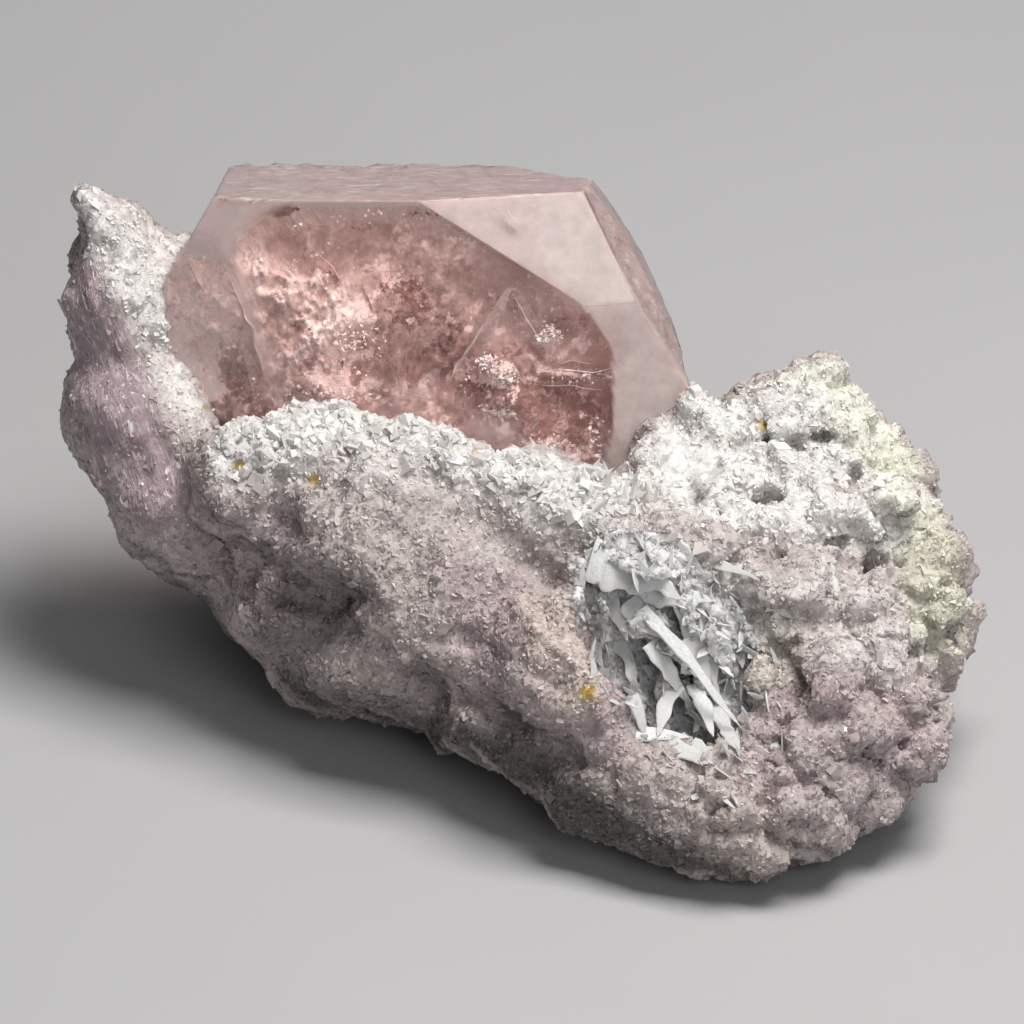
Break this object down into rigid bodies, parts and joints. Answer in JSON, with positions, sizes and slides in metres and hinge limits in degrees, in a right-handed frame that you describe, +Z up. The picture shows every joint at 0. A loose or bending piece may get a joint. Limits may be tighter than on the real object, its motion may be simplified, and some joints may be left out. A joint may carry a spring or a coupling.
{
  "type": "morganite crystal on matrix",
  "caption": "Thick hexagonal pink beryl plate standing in a rough lump of pale mica and albite rock, with a hollow of thin bladed crystals, resting on its own flat foot.",
  "frame": {"origin": "on the resting plane, under the middle of the specimen's box", "axes": "+X to the viewer's right along the specimen's length, +Y away from the viewer, +Z up from the resting plane"},
  "size_m": [0.1136, 0.0866, 0.067],
  "materials": {
    "morganite": "polished",
    "matrix_rock": "matte",
    "cleavelandite": "satin"
  },
  "bodies": {
    "root": {"morganite_crystal": "morganite", "mica_albite_matrix": "matrix_rock", "cleavelandite_blades": "cleavelandite"}
  },
  "joints": []
}
